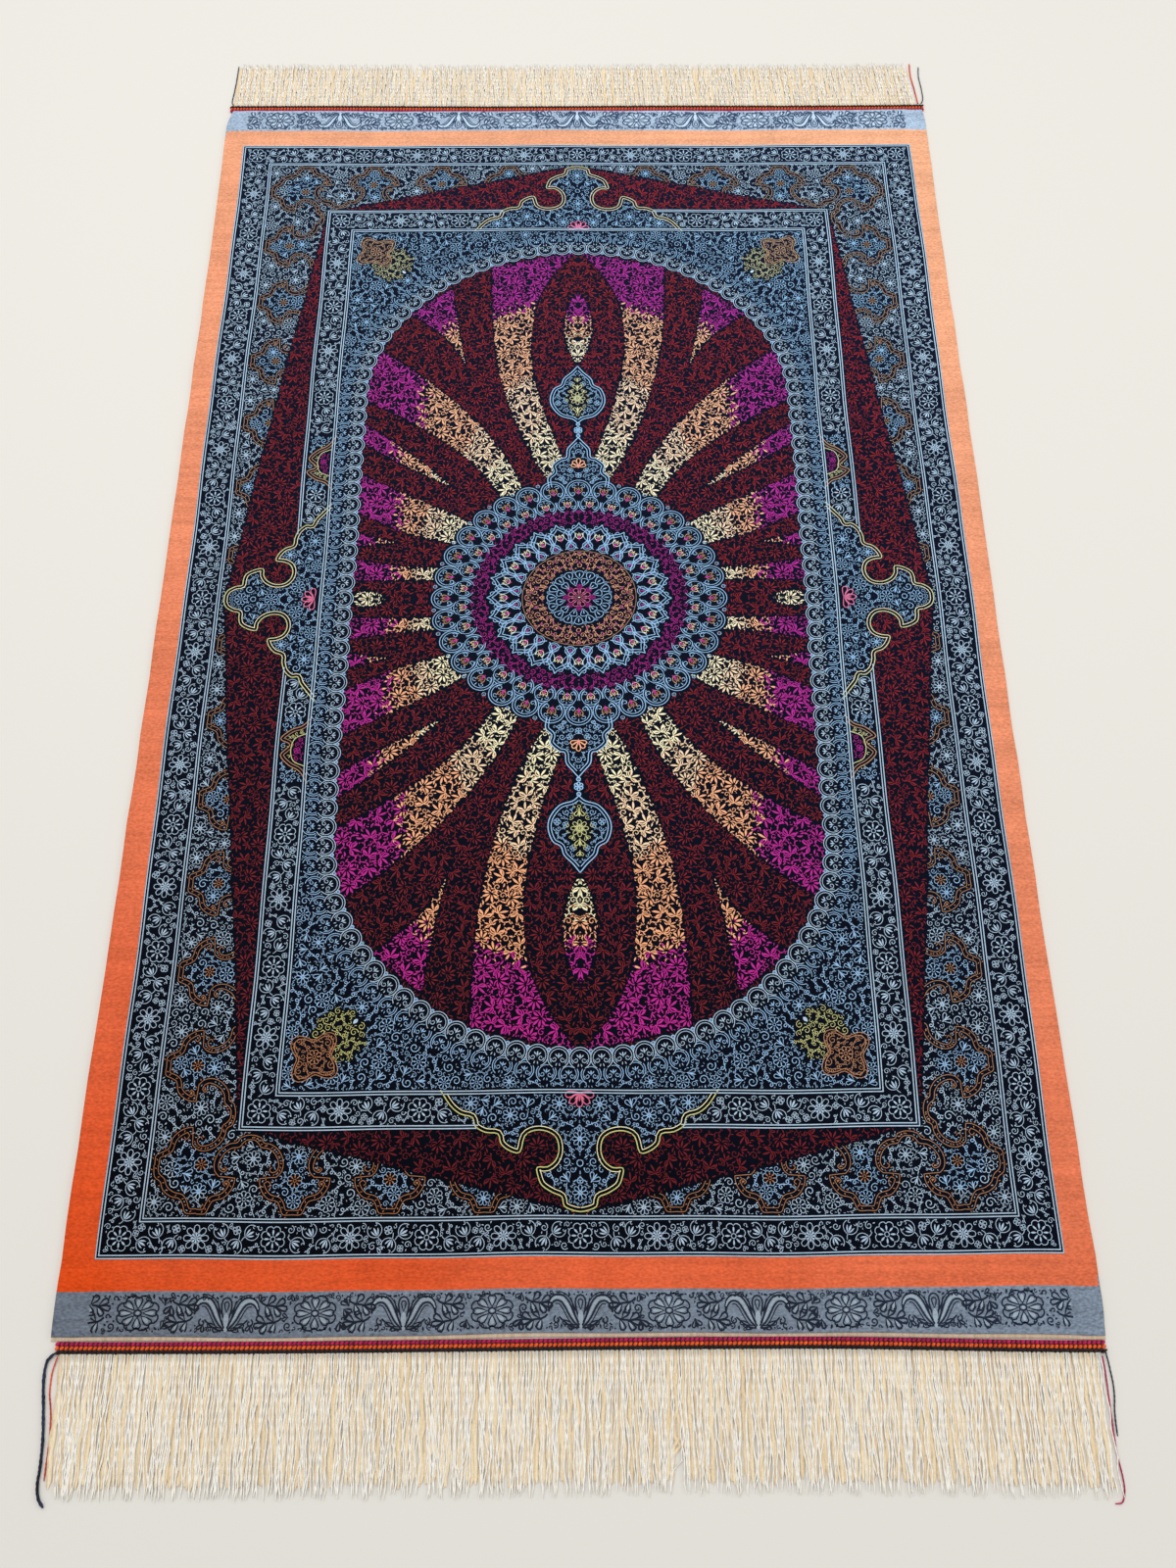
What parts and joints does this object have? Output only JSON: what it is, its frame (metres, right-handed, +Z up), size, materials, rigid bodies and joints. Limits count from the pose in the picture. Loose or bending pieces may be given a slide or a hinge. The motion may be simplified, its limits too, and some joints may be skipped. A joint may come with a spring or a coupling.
{
  "type": "persian rug",
  "caption": "Small rectangular silk pile rug with a round medallion, patterned borders, plain orange margins and ivory fringes, lying flat on a floor.",
  "frame": {"origin": "on the floor, under the middle of the rug with its fringes", "axes": "+X across the width, +Y along the length from the long fringe to the short one, +Z up out of the pile"},
  "size_m": [0.8088, 1.4839, 0.0045],
  "materials": {
    "pile": "knotted silk pile, near-black navy ground with pale blue, crimson, magenta, cream and gold ink, orange margins and grey-blue end bands",
    "twine_magenta": "twined silk yarn, magenta",
    "twine_orange": "twined silk yarn, orange",
    "twine_black": "twined silk yarn, black",
    "fringe": "plied ivory silk warp ends",
    "tail_dark": "loose navy-black yarn",
    "tail_red": "loose orange-red yarn",
    "tail_pink": "loose pink yarn"
  },
  "bodies": {
    "root": {"rug_body": "pile", "twine_near_magenta": "twine_magenta", "twine_near_orange": "twine_orange", "twine_near_black": "twine_black", "twine_far_magenta": "twine_magenta", "twine_far_orange": "twine_orange", "twine_far_black": "twine_black", "fringe_near": "fringe", "fringe_far": "fringe", "tail_near_left_navy": "tail_dark", "tail_near_left_orange": "tail_red", "tail_near_right_black": "tail_dark", "tail_near_right_pink": "tail_pink", "tail_far_left_black": "tail_dark", "tail_far_right_black": "tail_dark", "tail_far_right_red": "tail_red"}
  },
  "joints": []
}
